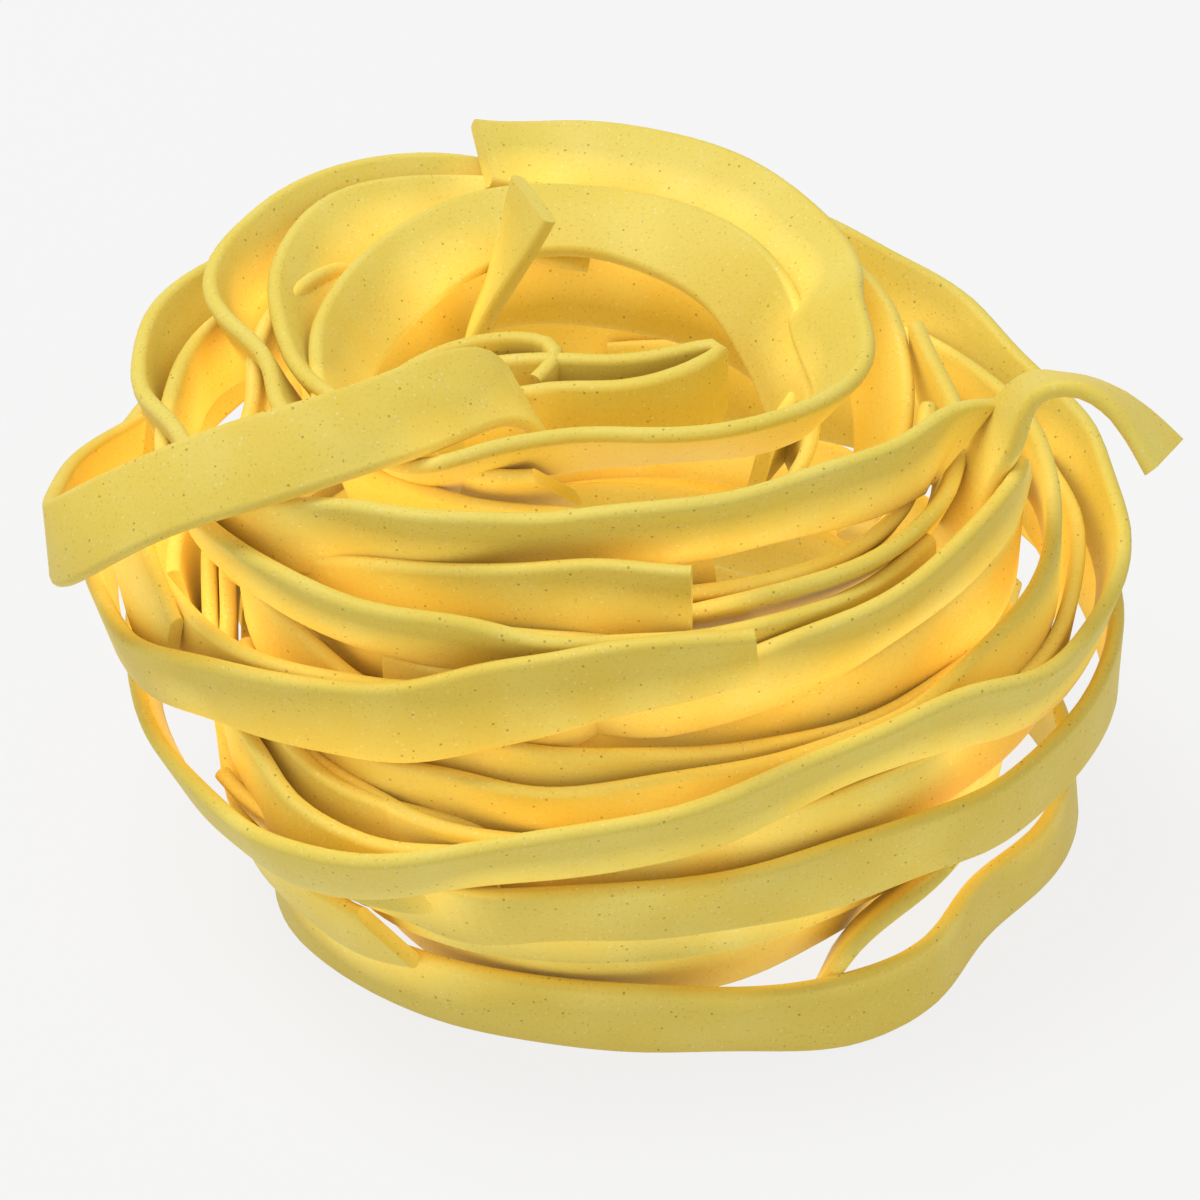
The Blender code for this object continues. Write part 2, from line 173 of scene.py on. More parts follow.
# Wound strands: start bearing, step, then rows of radius, height and lean, one entry a step
WOUND = {
    "great_belt": dict(
        start=-150, step=20,
        radius=(30.5, 31.5, 32.5, 33, 32.5, 32, 32, 30.5, 29, 28.5,
                29.5, 32.5, 35, 32, 29.5, 27, 25.5, 26, 27),
        height=(20, 17.5, 16, 15, 14.5, 15.5, 18.5, 21.5, 22.7, 24.6,
                24, 21.6, 22.8, 26.5, 29.5, 33, 34, 33, 31),
        lean=(-10, -10, -15, -15, -20, -25, -30, -25, -20, -20,
              -20, -15, -10, -20, -25, -30, -25, -20, -20)),
    "low_belt": dict(
        start=-62, step=25,
        radius=(28, 28.2, 28.4, 27.9, 29.2, 33.2, 35.2, 33.4, 30.6, 29.2, 29, 29.2, 29.7, 30),
        height=(12.6, 13.8, 15.2, 15.3, 15.2, 16.1, 16.5, 17.5, 19.2, 20, 19.5, 16.5, 12.8, 11),
        lean=(-30, -18, -15, -13, -7, -3, 0, -2, -7, -10, -10, -10, -10, -10)),
    "tucked_belt": dict(
        start=-60, step=20,
        radius=(26.5, 26.8, 26.8, 26.8, 26.6, 27.6, 29.5, 31.5, 32, 30),
        height=(17, 17, 17.2, 17.5, 18, 18.8, 19.5, 20.5, 22, 24),
        lean=(-5, -5, -5, -5, -5, -5, -5, -5, -10, -15)),
    "under_belt": dict(
        start=-60, step=20,
        radius=(25, 26, 26.5, 26.8, 26.8, 26.8, 27.2, 27.5, 28, 27.5, 27, 27, 27, 26.5, 26.5, 26.5),
        height=(10.5, 11.3, 11.7, 11.8, 11.8, 11.8, 11.8, 12, 12.5, 13, 13.5, 13.5, 13, 12.5, 12, 11.5),
        lean=(-10,) * 16),
    "floor_ring": dict(
        start=-80, step=20,
        radius=(22, 23, 23.6, 24, 24, 24.2, 25, 26.5, 27, 25.5, 24.5, 24, 24, 24, 24),
        height=(7, 6.5, 6, 5.8, 5.8, 6, 7.2, 9, 9, 8.5, 8, 8, 8, 8, 8),
        lean=(-15, -20, -20, -20, -20, -20, -15, -10, -10, -10, -10, -10, -10, -10, -10)),
    "floor_ribbon": dict(
        start=-75, step=15,
        radius=(24.5, 26.1, 26.3, 25.8, 25.2, 25.5, 26.6, 28.9, 30.4, 29.1,
                32, 33.2, 32.5, 30, 29, 28, 27.5, 27, 27),
        height=(2.9,) * 19,
        lean=(-5, -5, -5, -5, -5, -4, -2, 3, 5, 2, 3, 5, 0, 0, -5, -5, -5, -5, -5)),
    "floor_tab": dict(
        start=-75, step=15,
        radius=(27, 27.5, 28, 27),
        height=(12.5, 10.3, 8.3, 7.8),
        lean=(-15, -15, -15, -20)),
    "front_belt": dict(
        start=-170, step=19,
        radius=(26, 29.3, 32.3, 35.8, 35.8, 34.3, 31, 27.5, 24.9, 24.8, 26.2),
        height=(34.5, 31.5, 27.4, 22.6, 21.3, 22.4, 24.8, 26.4, 29.5, 32.6, 33.9),
        lean=(-20, -20, -20, -15, -15, -15, -14, -3, 8, -6, -22)),
    "second_belt": dict(
        start=-80, step=20,
        radius=(32.3, 30.3, 26.9, 24, 22.6),
        height=(25.2, 24.9, 25.8, 27.6, 28.4),
        lean=(-5, -5, -5, -5, -5)),
    "pale_belt": dict(
        start=-140, step=20,
        radius=(27, 28.5, 29.5, 29, 28, 25.7, 24.2, 23, 22.8, 23.2, 23.6),
        height=(30, 32, 33.5, 33, 33, 32.6, 30.95, 30.8, 30.9, 30.8, 31),
        lean=(0, -5, -5, -15, -25, -25, -18, -12, -10, -5, 0)),
    "front_filler": dict(
        start=-115, step=20,
        radius=(24, 24.5, 24.5, 23.8, 22.8, 22, 21.5, 21),
        height=(31, 29, 28, 28.5, 29, 29.5, 29, 28.5),
        lean=(-5, -10, -10, -10, -10, -10, -5, 0)),
    "low_filler": dict(
        start=-100, step=20,
        radius=(24.5, 25, 25, 24.5, 24, 23.8, 24, 24.5, 25.5, 26.5, 27),
        height=(22.5, 22, 22, 22.5, 23, 22.5, 21.5, 20.5, 20, 20, 21),
        lean=(0,) * 11),
    "plate": dict(
        start=-94, step=18,
        radius=(27.5, 26.5, 24.6, 23, 21.5, 20.6, 20.5),
        height=(28.5, 29.5, 30.5, 31.9, 33.3, 34.3, 34.8),
        lean=(-5, -5, -5, -5, 0, 0, 0)),
    "plate_end": dict(
        start=-36, step=12,
        radius=(19.4, 18.6, 17.6, 16.8, 16.2, 16),
        height=(31.4, 31.6, 31.9, 32.3, 32.8, 33),
        lean=(-10, -10, -10, -10, -10, -10)),
    "sweep": dict(
        start=-130, step=19,
        radius=(28.8, 32.1, 30.4, 28, 25, 21.4, 18, 17.9, 18.1, 18.9, 21.6, 24),
        height=(33.5, 34.3, 34.4, 35, 35.6, 36.3, 36.7, 37.7, 38, 38, 37.6, 36.6),
        lean=(-30, -28, -22, -12, -8, -10, -18, -20, -18, -12, -5, 5)),
    "upper_belt": dict(
        start=-39, step=17,
        radius=(24.5, 23.5, 22.5, 23.4, 24.3, 25.4, 26.8, 27.7),
        height=(26.3, 26.9, 28.3, 28.5, 30.2, 31.5, 33, 35.3),
        lean=(-5, -8, -10, -10, -12, -18, -8, 0)),
    "golden_belt": dict(
        start=-80, step=20,
        radius=(24.5, 24, 23.5, 22.7, 22, 21.9, 23, 25, 26.9, 27, 26, 25.5, 25, 25),
        height=(22, 22.5, 23.2, 23.9, 24.2, 24, 24.2, 24.5, 25.2, 25, 24, 22, 21, 20),
        lean=(0, 0, 0, 0, -5, -5, 0, 0, 0, -5, -15, -20, -20, -20)),
    "inner_belt": dict(
        start=-70, step=20,
        radius=(27.3, 26.4, 25.6, 25.8, 26, 26.3, 28.4, 30.5, 30, 28.8, 28.3, 27.5, 27.5, 28, 28),
        height=(20, 19.2, 19.9, 20.9, 21.4, 21.4, 22.3, 24.6, 27.8, 27.6, 26.4, 25, 23.5, 22, 21),
        lean=(0, -5, -10, -10, 0, 0, 0, 0, 5, 0, -10, -15, -20, -15, -15)),
    "left_front": dict(
        start=-142, step=15,
        radius=(27, 26.2, 25.5, 26.8, 28, 28.2, 27.8, 27.3, 26, 24.8),
        height=(27.5, 25.5, 23.5, 22.5, 21.3, 19.8, 18.3, 17, 16.4, 16),
        lean=(0,) * 10),
    "left_low": dict(
        start=-95, step=20,
        radius=(26, 27, 29, 29, 27.5),
        height=(24.5, 21, 17.7, 16.6, 16.4),
        lean=(0, 0, -5, 0, 0)),
    "left_inner": dict(
        start=-110, step=15,
        radius=(24, 24.5, 25.5, 26.5, 26.5, 26),
        height=(24, 20, 15, 12.5, 11.8, 12.2),
        lean=(0, 0, 0, 0, 0, 0)),
    "left_mid": dict(
        start=-135, step=15,
        radius=(24, 24, 24, 24.5, 25.5, 26, 25, 24),
        height=(33, 35.5, 36, 33.5, 30, 26.5, 24, 23),
        lean=(0, 0, 0, 0, 0, -5, 0, 0)),
    "back_left": dict(
        start=160, step=20,
        radius=(29, 29.5, 29.5, 29, 29, 29.5, 29),
        height=(24, 21, 19, 18, 18.5, 20, 22),
        lean=(-15, -15, -15, -15, -15, -15, -15)),
    "back_low": dict(
        start=110, step=20,
        radius=(31, 30, 28.6, 28, 28.5, 28.5, 29, 29),
        height=(9, 7, 6, 6.5, 8, 9.5, 10, 9),
        lean=(-10, -10, -10, -10, -10, -10, -10, -10)),
    "crown": dict(
        start=-150, step=20, centre=(0, 10),
        radius=(16.6, 20.8, 24.3, 26.6, 23.4, 23.5, 23.4, 18.2, 18.9, 20.3,
                20.2, 15.7, 14.2, 13.7, 13.7, 14.3, 15, 15.8, 16.9),
        height=(36.2, 37.4, 37.4, 36.9, 36.3, 36.8, 36.9, 37.6, 38.3, 38.5,
                38.6, 38.8, 38.8, 38.9, 39, 39, 39, 39, 39),
        lean=(-45, -42, -38, -28, -25, -40, -42, -37, -38, -34,
              -36, -50, -57, -62, -62, -62, -62, -62, -62)),
    "inner_crown": dict(
        start=60, step=20, centre=(-3, 6),
        radius=(17, 16, 14.5, 13.4, 13.2, 13.3, 13.4, 13.6, 13.7, 13.9, 14.6, 16, 17.8, 18.4, 17.4, 16.4),
        height=(27, 31.5, 36, 37.6, 37.7, 37.8, 38, 38, 37.6, 37, 36.6, 36.4, 36, 35, 33, 31.5),
        lean=(0, -10, -30, -50, -60, -65, -65, -62, -55, -48, -42, -36, -22, -10, -5, 0)),
    "left_crown": dict(
        start=170, step=20, centre=(-4, 5),
        radius=(15.8, 16.6, 18.9, 19.7, 18.4, 17.4, 16.4, 16.2, 15.8, 14.2, 13.2),
        height=(36, 36.8, 37.3, 37.3, 37.3, 37, 36.5, 35.8, 35.3, 35.0, 34.9),
        lean=(-55, -55, -55, -50, -45, -40, -30, -25, -30, -32, -32)),
    "right_crown": dict(
        start=60, step=20, centre=(0, 5),
        radius=(20, 19.2, 18.8, 18, 17.5, 17.5, 18),
        height=(28.5, 32, 34.3, 35, 35.5, 36, 36.5),
        lean=(-30, -35, -35, -40, -45, -50, -55)),
    "ring": dict(
        start=10, step=20,
        radius=(18.5, 20.5, 22.3, 23, 22.5, 21.5),
        height=(31.2, 32.5, 32.5, 32.5, 33.5, 34.5),
        lean=(-30, -40, -40, -20, -5, 5)),
    "dark_ring": dict(
        start=-10, step=20,
        radius=(17, 17.5, 18, 19.5, 20.5, 20.5),
        height=(30.5, 31, 31.5, 31.5, 32, 33.5),
        lean=(0, -20, -40, -40, -25, -5)),
    "hollow_wall": dict(
        start=60, step=20, centre=(-2, 6),
        radius=(14, 14.5, 15, 15.5, 15, 14, 14.5, 15, 15.5, 15.5, 15.5, 15.5, 15.5, 15.5),
        height=(31, 31, 31, 31, 31.5, 32, 32, 32, 32, 32, 32, 31, 30, 30),
        lean=(-10, -10, -10, -15, -20, -20, -20, -20, -20, -20, -20, -20, -20, -20)),
}

# Loose strands: stations of x, y, z, then the bearing and slope of the line across the ribbon
LOOSE = {
    "sash": (
        (-5.0, -2.8, 36.5, 210, 15), (-5.6, -3.2, 38.8, 208, 22), (-7.9, -5.0, 41.0, 200, 30),
        (-13.5, -9.8, 41.6, 190, 32), (-21.3, -13.6, 41.2, 185, 35), (-28.0, -14.0, 38.9, 182, 42),
        (-34.0, -12.4, 34.5, 180, 52), (-36.9, -10.3, 31.2, 180, 72), (-37.4, -6.0, 29.3, 180, 88),
        (-37.2, -1.5, 28.0, 180, 88), (-36.6, 3.0, 26.5, 180, 88), (-34.0, 9.5, 24.5, 180, 88)),
    "spike": (
        (-10.5, 13.3, 29.0, 168, 0), (-9.8, 13.1, 32.0, 170, 0), (-8.6, 12.8, 35.0, 175, 2),
        (-7.6, 12.4, 38.0, 183, 8), (-6.4, 12.2, 41.0, 190, 16), (-5.3, 12.6, 43.9, 195, 25)),
    "curl": (
        (-8.0, 2.5, 34.5, 180, 90), (-3.2, 1.8, 35.5, 180, 90), (-0.5, 1.5, 35.5, 180, 90),
        (3.0, 1.6, 35.8, 180, 90), (6.2, 2.6, 36.0, 180, 90), (7.8, 3.6, 36.2, 180, 90),
        (8.4, 3.0, 36.2, 180, 90), (7.6, 1.2, 36.0, 180, 90), (5.4, 0.0, 35.7, 180, 90),
        (2.9, -1.3, 35.5, 180, 90), (-0.5, -1.5, 35.3, 180, 90), (-4.8, -1.0, 35.0, 180, 90),
        (-10.0, -1.5, 34.0, 180, 90)),
    "hairpin": (
        (-17.0, -2.0, 34.5, 180, 90), (-14.2, 0.5, 35.0, 180, 90), (-11.6, 3.4, 35.0, 180, 90),
        (-8.8, 4.4, 35.5, 180, 90), (-6.2, 4.7, 35.5, 180, 90), (-4.0, 4.0, 35.5, 180, 90),
        (-3.3, 2.0, 35.5, 180, 90), (-4.8, 0.4, 35.0, 180, 90)),
    "wave": (
        (22.5, -6.1, 27.0, 205, 0), (22.8, -6.7, 31.0, 205, 0), (23.1, -6.5, 34.0, 203, -4),
        (23.8, -6.2, 37.0, 198, -12), (25.1, -6.6, 40.0, 190, -22), (27.0, -6.8, 41.9, 183, -29),
        (29.1, -6.9, 42.5, 179, -30), (31.0, -7.3, 42.4, 174, -26), (32.7, -7.9, 41.6, 168, -20),
        (34.3, -9.0, 40.2, 162, -15), (35.8, -10.2, 38.5, 157, -12)),
    "tab": (
        (-33.0, -5.6, 30.8, 44, 51), (-31.8, -7.8, 28.9, 44, 51), (-30.7, -9.8, 27.1, 44, 51),
        (-29.3, -12.3, 24.9, 44, 51), (-28.4, -13.9, 23.6, 44, 51)),
    "stray": (
        (14.7, -21.2, 3.0, 0, 38), (15.9, -21.6, 6.2, 0, 38), (17.2, -21.2, 8.2, 0, 38),
        (20.0, -20.2, 10.2, 5, 40), (23.5, -17.5, 11.5, 20, 50)),
}


def through(rows, samples):
    """A smooth curve through rows of numbers, with so many samples between each two."""
    rows = [Vector(row) for row in rows]
    before = [2 * rows[0] - rows[1]] + rows[:-1]
    after = rows[1:] + [2 * rows[-1] - rows[-2]]
    found = []
    for i in range(len(rows) - 1):
        p0, p1, p2, p3 = before[i], rows[i], rows[i + 1], after[i + 1]
        for k in range(samples):
            u = k / samples
            found.append(0.5 * (2 * p1 + (p2 - p0) * u + (2 * p0 - 5 * p1 + 4 * p2 - p3) * u * u
                                + (3 * p1 - p0 - 3 * p2 + p3) * u ** 3))
    return found + [rows[-1]]


def wound_stations(strand, samples):
    """Centre points and lines across the ribbon, round the strand's own centre."""
    middle = Vector((*strand.get("centre", (0, 0)), 0))
    bearings = [strand["start"] + strand["step"] * i for i in range(len(strand["radius"]))]
    rows = zip(bearings, strand["radius"], strand["height"], strand["lean"])
    stations = []
    for bearing, radius, height, lean in through([(*row,) for row in rows], samples):
        outward = Vector((math.sin(math.radians(bearing)), -math.cos(math.radians(bearing)), 0))
        across = Vector((0, 0, math.cos(math.radians(lean)))) - math.sin(math.radians(lean)) * outward
        stations.append((middle + radius * outward + Vector((0, 0, height)), across))
    return stations


def loose_stations(rows, samples):
    """Centre points and lines across the ribbon, from one station to the next."""
    points = through([row[:3] for row in rows], samples)
    lines = []
    for *_, bearing, slope in rows:
        bearing, slope = math.radians(bearing), math.radians(slope)
        level = math.cos(slope)
        lines.append((level * math.sin(bearing), -level * math.cos(bearing), math.sin(slope)))
    return list(zip(points, through(lines, samples)))


def even_steps(points, lines, spacing):
    """The route again at even steps, as arrays."""
    points, lines = np.array(points, float), np.array(lines, float)
    lengths = np.r_[0, np.cumsum(np.linalg.norm(np.diff(points, axis=0), axis=1))]
    steps = np.linspace(0, lengths[-1], max(4, round(lengths[-1] / spacing) + 1))
    points = np.stack([np.interp(steps, lengths, points[:, k]) for k in range(3)], axis=1)
    lines = np.stack([np.interp(steps, lengths, lines[:, k]) for k in range(3)], axis=1)
    return points, lines


def unit(vectors):
    return vectors / np.maximum(np.linalg.norm(vectors, axis=-1, keepdims=True), 1e-9)


def smooth(values, passes):
    """Each value drawn to the middle of its neighbours, with the ends kept."""
    for _ in range(passes):
        values[1:-1] = 0.5 * values[1:-1] + 0.25 * (values[:-2] + values[2:])
    return values


def strand_routes():
    """Every strand's route: its name, points and lines across."""
    routes = {}
    for name, strand in WOUND.items():
        stations = wound_stations(strand, CURVE_SAMPLES)
        routes[name] = even_steps(*zip(*stations), ROUTE_SPACING)
    for name, rows in LOOSE.items():
        stations = loose_stations(rows, CURVE_SAMPLES)
        routes[name] = even_steps(*zip(*stations), ROUTE_SPACING)
    return routes


def frames(points, lines):
    """Directions along, across and out of the ribbon at each point."""
    ahead = unit(np.gradient(points, axis=0))
    across = unit(lines - ahead * (lines * ahead).sum(axis=1, keepdims=True))
    return ahead, across, np.cross(ahead, across)


def neighbours(points, strand_of, place):
    """Pairs of route points whose ribbons could touch, leaving out a ribbon's own next stretch."""
    tree = KDTree(len(points))
    for i, point in enumerate(points):
        tree.insert(point, i)
    tree.balance()
    pairs = []
    for i, point in enumerate(points):
        for _, j, _ in tree.find_range(point, RIBBON_WIDTH + REACH_PAST_WIDTH):
            if strand_of[i] != strand_of[j] or abs(place[i] - place[j]) > OWN_STRETCH:
                pairs.append((i, j))
    return np.array(pairs)


def settle(routes):
    """Ribbons that would pass through each other are eased apart, and the lowest rest on the table."""
    names = list(routes)
    sizes = [len(routes[name][0]) for name in names]
    starts = np.r_[0, np.cumsum(sizes)]
    points = np.concatenate([routes[name][0] for name in names])
    lines = np.concatenate([routes[name][1] for name in names])
    strand_of = np.repeat(np.arange(len(names)), sizes)
    place = np.concatenate([np.arange(size) for size in sizes])
    first = points.copy()
    half_width, gap = RIBBON_WIDTH / 2, RIBBON_THICKNESS + FACE_AIR
    for turn in range(EASE_ROUNDS):
        if turn % LOOK_AGAIN == 0:
            i, j = neighbours(points, strand_of, place).T
        ahead, across, out = np.empty_like(points), np.empty_like(points), np.empty_like(points)
        for a, b in zip(starts, starts[1:]):
            ahead[a:b], across[a:b], out[a:b] = frames(points[a:b], lines[a:b])
        push, weight = np.zeros_like(points), np.full(len(points), 1e-6)
        for offset in TRIED_ACROSS:
            away = points[i] + offset * half_width * across[i] - points[j]
            along = (away * ahead[j]).sum(axis=1)
            wide = (away * across[j]).sum(axis=1)
            thick = (away * out[j]).sum(axis=1)
            deep = gap - abs(thick)
            aside = half_width + EDGE_AIR - abs(wide)
            touching = (abs(along) < TOUCH_LENGTH) & (deep > 0) & (aside > 0)
            edge_on = touching & (aside < deep)
            face_on = touching & ~edge_on
            for chosen, depth, side, axis in ((face_on, deep, thick, out), (edge_on, aside, wide, across)):
                step = (0.5 * depth * np.sign(side))[chosen, None] * axis[j[chosen]]
                for end, sign in ((i, 1), (j, -1)):
                    np.add.at(push, end[chosen], sign * step * depth[chosen, None])
                    np.add.at(weight, end[chosen], depth[chosen])
        push /= np.maximum(weight, LEAST_WEIGHT)[:, None]
        lowest = points[:, 2] - half_width * abs(across[:, 2]) - 0.5 * RIBBON_THICKNESS * abs(out[:, 2])
        push[:, 2] += np.maximum(-lowest, 0)
        for a, b in zip(starts, starts[1:]):
            push[a:b] = smooth(push[a:b], passes=3)
            points[a:b] += PUSH_SHARE * push[a:b] + PULL_BACK * (first[a:b] - points[a:b])
    for a, b in zip(starts, starts[1:]):
        points[a:b] = smooth(points[a:b], passes=4)
        lines[a:b] = smooth(unit(lines[a:b]), passes=6)
    return {name: (points[a:b], lines[a:b]) for name, a, b in zip(names, starts, starts[1:])}


def ribbon_section():
    """The outline across a ribbon: flat faces with rounded edges."""
    half_width, half_thickness = RIBBON_WIDTH / 2, RIBBON_THICKNESS / 2
    outline = []
    for side in (1, -1):
        for corner in (1, -1):
            for k in range(EDGE_STEPS + 1):
                turn = math.radians(90 * k / EDGE_STEPS)
                wide = half_width - EDGE_ROUNDING + EDGE_ROUNDING * math.cos(turn)
                thick = half_thickness - EDGE_ROUNDING + EDGE_ROUNDING * math.sin(turn)
                outline.append((side * wide, side * corner * thick))
    return sorted(set(outline), key=lambda p: math.atan2(p[1] / half_thickness, p[0] / half_width))


def slant(along, share, starts, ends):
    """How far one edge is drawn back at each end, for a corner at this share of the half width."""
    at_start = np.clip(1 - along / RIBBON_WIDTH, 0, 1)
    at_end = np.clip(1 - (along[-1] - along) / RIBBON_WIDTH, 0, 1)
    return at_end * (ends * share - abs(ends)) - at_start * (starts * share - abs(starts))


def ripple(along, middle, waves, phases):
    """A value that wavers slowly along a ribbon."""
    bends = (height * np.sin(along / length + phase) for (height, length), phase in zip(waves, phases))
    return sum(bends, middle)


def ribbon_mesh(points, lines, slants, rng):
    """Rings of corners along one ribbon, with the slight unevenness of dried dough."""
    points, lines = even_steps(points, lines, MESH_SPACING)
    count = len(points)
    ahead, across, out = frames(points, lines)
    outline = ribbon_section()
    along = np.arange(count) * MESH_SPACING
    phases = [rng.uniform(0, 2 * math.pi) for _ in range(6)]
    twist = ripple(along, *TWIST, phases[0:2])
    swell = ripple(along, *SWELL, phases[2:4])
    cup = ripple(along, *CUP, phases[4:5])
    verts = np.empty((count, len(outline), 3))
    for k, (wide, thick) in enumerate(outline):
        share = wide / (RIBBON_WIDTH / 2)
        lift = twist * share + cup * (share * share - CUP_LEVEL)
        verts[:, k] = (points + (wide * swell)[:, None] * across + (thick + lift)[:, None] * out
                       + slant(along, share, *slants)[:, None] * ahead)
    return (verts + np.array(CENTRE_SHIFT)) * MM


def ring_faces(count, around):
    """Faces of one closed skin of so many rings, with flat ends."""
    faces = [tuple(range(around))[::-1], tuple(range((count - 1) * around, count * around))]
    for i in range(count - 1):
        for k in range(around):
            a, b = i * around + k, i * around + (k + 1) % around
            faces.append((a, b, b + around, a + around))
    return faces


def ray_directions(number):
    """Directions spread evenly over a sphere."""
    directions = []
    for k in range(number):
        height = 1 - (2 * k + 1) / number
        turn = k * math.radians(GOLDEN_ANGLE)
        level = math.sqrt(1 - height * height)
        directions.append(Vector((level * math.cos(turn), level * math.sin(turn), height)))
    return directions


def buried(skins):
    """For each ring corner of every strand, the share of the directions above it that meet another ribbon."""
    verts, faces = [], []
    for rings in skins.values():
        base = len(verts)
        verts.extend(rings.reshape(-1, 3).tolist())
        faces.extend(tuple(base + i for i in face) for face in ring_faces(*rings.shape[:2]))
    tree = BVHTree.FromPolygons(verts, faces)
    directions = ray_directions(2 * BURIED_RAYS)
    found = {}
    for name, rings in skins.items():
        middle = rings.mean(axis=1, keepdims=True)
        outward = unit(rings - middle)
        shares = np.zeros(rings.shape[:2])
        for i in range(0, len(rings), 2):
            for k in range(rings.shape[1]):
                normal = Vector(outward[i, k])
                start = Vector(rings[i, k]) + normal * RAY_START * MM
                above = [ray for ray in directions if ray.dot(normal) > 0]
                met = [tree.ray_cast(start, ray, BURIED_REACH * MM)[0] is not None for ray in above]
                shares[i, k] = sum(met) / len(met)
        shares[1::2] = shares[0:-1:2]
        found[name] = smooth(shares, passes=6)
    return found


def pasta_ribbons(name, strands, skins, hidden, rng, material):
    """One piece of several ribbons, each with a shade of its own and the closed-off share at every corner."""
    verts, faces, shades, depths = [], [], [], []
    for strand in strands:
        rings = skins[strand]
        base = len(verts)
        verts.extend(rings.reshape(-1, 3).tolist())
        faces.extend(tuple(base + i for i in face) for face in ring_faces(*rings.shape[:2]))
        shades.extend([rng.random()] * rings.shape[0] * rings.shape[1])
        depths.extend(hidden[strand].reshape(-1).tolist())
    mesh = bpy.data.meshes.new(name)
    mesh.from_pydata(verts, [], faces)
    mesh.validate()
    for label, values in (("strand_shade", shades), ("buried", depths)):
        mesh.attributes.new(label, "FLOAT", "POINT").data.foreach_set("value", values)
    mesh.shade_smooth()
    mesh.set_sharp_from_angle(angle=math.radians(SHARP_ANGLE))
    mesh.materials.append(material)
    piece = bpy.data.objects.new(name, mesh)
    bpy.context.scene.collection.objects.link(piece)
    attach(piece, "root")
    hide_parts("pasta_nest")


def node(tree, kind, **values):
    """A new node with its settings."""
    made = tree.nodes.new(kind)
    for key, value in values.items():
        setattr(made, key, value)
    return made


def feed(tree, value, socket):
    """A socket gets a link from another node, or a plain value."""
    if hasattr(value, "is_output"):
        tree.links.new(value, socket)
    else:
        socket.default_value = value


def math_node(tree, operation, *values):
    made = node(tree, "ShaderNodeMath", operation=operation)
    for value, socket in zip(values, made.inputs):
        feed(tree, value, socket)
    return made.outputs[0]


def blend(tree, factor, first, second):
    """From the first colour to the second: a Mix node's colours go in at 6 and 7 and come out at 2."""
    made = node(tree, "ShaderNodeMix", data_type="RGBA")
    for value, socket in ((factor, made.inputs[0]), (first, made.inputs[6]), (second, made.inputs[7])):
        feed(tree, value, socket)
    return made.outputs[2]


def noise(tree, place, scale, detail, roughness=0.5):
    """Soft noise over the object, with the scale counted per metre."""
    made = node(tree, "ShaderNodeTexNoise")
    made.inputs["Scale"].default_value = scale
    made.inputs["Detail"].default_value = detail
    made.inputs["Roughness"].default_value = roughness
    tree.links.new(place, made.inputs["Vector"])
    return made.outputs["Fac"]


def band(tree, value, low, high, to_low=0.0, to_high=1.0):
    """The stretch from low to high turned into the one from to_low to to_high, and held there beyond it."""
    made = node(tree, "ShaderNodeMapRange")
    tree.links.new(value, made.inputs["Value"])
    for name, number in (("From Min", low), ("From Max", high), ("To Min", to_low), ("To Max", to_high)):
        made.inputs[name].default_value = number
    return made.outputs["Result"]


def fleck_group():
    """A mask of small round spots: cell in metres, size of the spot and share of cells that hold one 0-1."""
    group = bpy.data.node_groups.new("flecks", "ShaderNodeTree")
    for name, value in (("Cell", 0.001), ("Size", 0.15), ("Share", 0.5)):
        group.interface.new_socket(name, in_out="INPUT", socket_type="NodeSocketFloat").default_value = value
    group.interface.new_socket("Mask", in_out="OUTPUT", socket_type="NodeSocketFloat")
    inputs, outputs = node(group, "NodeGroupInput"), node(group, "NodeGroupOutput")
    link = group.links.new
    cells = node(group, "ShaderNodeTexVoronoi")
    link(node(group, "ShaderNodeTexCoord").outputs["Object"], cells.inputs["Vector"])
    link(math_node(group, "DIVIDE", 1, inputs.outputs["Cell"]), cells.inputs["Scale"])
    near = math_node(group, "LESS_THAN", cells.outputs["Distance"], inputs.outputs["Size"])
    parts = node(group, "ShaderNodeSeparateColor")
    link(cells.outputs["Color"], parts.inputs["Color"])
    chosen = math_node(group, "LESS_THAN", parts.outputs["Red"], inputs.outputs["Share"])
    link(math_node(group, "MULTIPLY", near, chosen), outputs.inputs["Mask"])
    return group


def flecks(tree, group, cell, size, share, strength):
    """One kind of fleck, as the strength of its colour."""
    made = node(tree, "ShaderNodeGroup", node_tree=group)
    made.inputs["Cell"].default_value = cell
    made.inputs["Size"].default_value = size
    made.inputs["Share"].default_value = share
    return math_node(tree, "MULTIPLY", made.outputs["Mask"], strength)


def pasta_colour(tree, place, shade, inside, open_air):
    """Lemon yellow outside, painted golden light inside the winding in place of light bounced and passed
    through the ribbons, mottled and flecked, painted brown shade deep in a narrow gap.
    """
    colour = blend(tree, shade, LEMON, LEMON_DEEP)
    # Painted light: the more closed off a spot is, the more golden it is painted, in place of light bounced and
    # passed through the dough
    colour = blend(tree, inside, colour, PAINTED_GOLDEN_LIGHT)
    for scale, detail, low, high, strength, tint in MOTTLES:
        mask = band(tree, noise(tree, place, scale, detail), low, high, 0, strength)
        colour = blend(tree, mask, colour, tint)
    group = fleck_group()
    for *kind, tint in FLECKS:
        colour = blend(tree, flecks(tree, group, *kind), colour, tint)
    # Painted shade: the less open air an Ambient Occlusion node finds in a narrow gap, the browner the colour
    return blend(tree, band(tree, open_air, *PAINTED_GAP_SHADE_RANGE), colour, PAINTED_GAP_SHADE)


def painted_glow(tree, depth, inside, open_air):
    """A painted glow in place of light through thin dough: inside the winding, less at its deepest and in gaps.
    """
    spread = math_node(tree, "MULTIPLY", inside, band(tree, depth, *DEEPEST))
    glow = math_node(tree, "MULTIPLY", spread, band(tree, open_air, *GAP_LIGHT))
    return math_node(tree, "MULTIPLY", glow, PAINTED_GLOW)


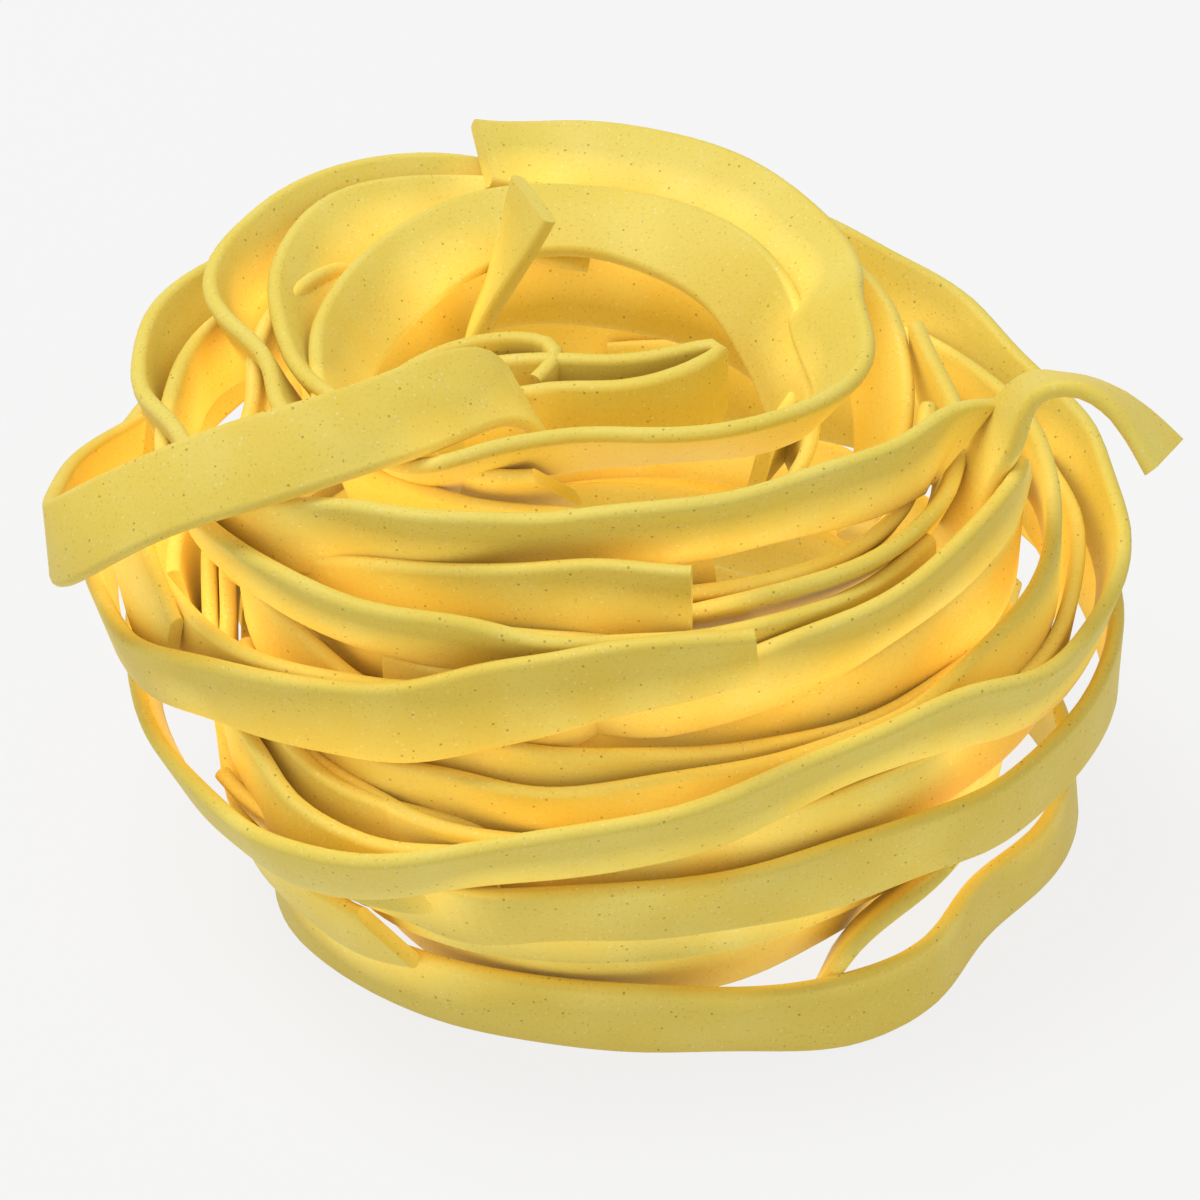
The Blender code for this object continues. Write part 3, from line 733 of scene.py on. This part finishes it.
def pasta_material():
    """Dry egg pasta: matte, finely grained, with tiny bran flecks, and a soft painted glow in place of light
    through the dough.
    """
    material = bpy.data.materials.new("dry_egg_pasta")
    material.use_nodes = True
    tree = material.node_tree
    shader = tree.nodes["Principled BSDF"]
    link = tree.links.new
    place = node(tree, "ShaderNodeTexCoord").outputs["Object"]
    shade = node(tree, "ShaderNodeAttribute", attribute_name="strand_shade").outputs["Fac"]
    depth = node(tree, "ShaderNodeAttribute", attribute_name="buried").outputs["Fac"]
    inside = band(tree, depth, *PAINTED_LIGHT_INSIDE)
    # An Ambient Occlusion node measures how open a narrow gap is, for the painted gap shade and the dimming of
    # the painted glow
    gap = node(tree, "ShaderNodeAmbientOcclusion", samples=2)
    gap.inputs["Distance"].default_value = GAP_REACH
    open_air = gap.outputs["AO"]
    colour = pasta_colour(tree, place, shade, inside, open_air)
    link(colour, shader.inputs["Base Color"])
    # The emission is a painted glow in place of light passing through thin dough; the pasta is no lamp
    link(colour, shader.inputs["Emission Color"])
    link(painted_glow(tree, depth, inside, open_air), shader.inputs["Emission Strength"])
    shader.inputs["Roughness"].default_value = ROUGHNESS
    shader.inputs["Specular IOR Level"].default_value = SHINE
    bump = node(tree, "ShaderNodeBump")
    bump.inputs["Strength"].default_value = GRAIN_STRENGTH
    bump.inputs["Distance"].default_value = GRAIN_DEPTH
    link(noise(tree, place, *GRAIN), bump.inputs["Height"])
    link(bump.outputs["Normal"], shader.inputs["Normal"])
    material.cycles.emission_sampling = "NONE"
    return material


def table():
    """A plain pale floor that gives light from below, a little less than the camera sees."""
    bpy.ops.mesh.primitive_plane_add(size=TABLE_SIZE, location=(0, 0, 0))
    plane = bpy.context.object
    plane.name = "table"
    material = bpy.data.materials.new("pale_table")
    material.use_nodes = True
    shader = material.node_tree.nodes["Principled BSDF"]
    shader.inputs["Base Color"].default_value = TABLE_GREY
    shader.inputs["Roughness"].default_value = 1.0
    shader.inputs["Specular IOR Level"].default_value = 0.0
    shader.inputs["Emission Color"].default_value = WHITE
    seen = node(material.node_tree, "ShaderNodeLightPath").outputs["Is Camera Ray"]
    glow = band(material.node_tree, seen, 0, 1, TABLE_BOUNCE, TABLE_SEEN)
    material.node_tree.links.new(glow, shader.inputs["Emission Strength"])
    plane.data.materials.append(material)


def lights():
    """An even white sky and two soft lamps."""
    world = bpy.data.worlds.new("studio")
    bpy.context.scene.world = world
    world.use_nodes = True
    background = world.node_tree.nodes["Background"]
    background.inputs["Color"].default_value = WHITE
    background.inputs["Strength"].default_value = SKY
    for name, where, size, power in LAMPS:
        lamp = bpy.data.lights.new(name, "AREA")
        lamp.size = size
        lamp.energy = power
        lamp_object = bpy.data.objects.new(name, lamp)
        lamp_object.location = where
        lamp_object.rotation_euler = (Vector(LAMP_AIM) - Vector(where)).to_track_quat("-Z", "Y").to_euler()
        bpy.context.scene.collection.objects.link(lamp_object)


def camera():
    """The camera, from the front."""
    slope = math.radians(VIEW_SLOPE)
    aim = (VIEW_AIM + CENTRE_SHIFT) * MM
    eye = aim + VIEW_DISTANCE * MM * Vector((0, -math.cos(slope), math.sin(slope)))
    lens = bpy.data.cameras.new("view")
    lens.lens = FOCAL_LENGTH
    lens.sensor_width = SENSOR_WIDTH
    lens.clip_start = NEAREST_SEEN
    view = bpy.data.objects.new("view", lens)
    view.location = eye
    view.rotation_euler = (aim - eye).to_track_quat("-Z", "Y").to_euler()
    bpy.context.scene.collection.objects.link(view)
    bpy.context.scene.camera = view


def main():
    rng = random.Random(SEED)
    routes = settle(strand_routes())
    skins = {name: ribbon_mesh(*route, SLANTS.get(name, (0, 0)), rng) for name, route in routes.items()}
    hidden = buried(skins)
    pasta = pasta_material()
    sides = [name for name in WOUND if name not in TOP_COILS]
    pasta_ribbons("loose_ends", list(LOOSE), skins, hidden, rng, pasta)
    pasta_ribbons("top_coils", TOP_COILS, skins, hidden, rng, pasta)
    pasta_ribbons("side_windings", sides, skins, hidden, rng, pasta)
    table()
    lights()
    camera()
    bpy.context.scene.view_settings.view_transform = "Standard"


main()
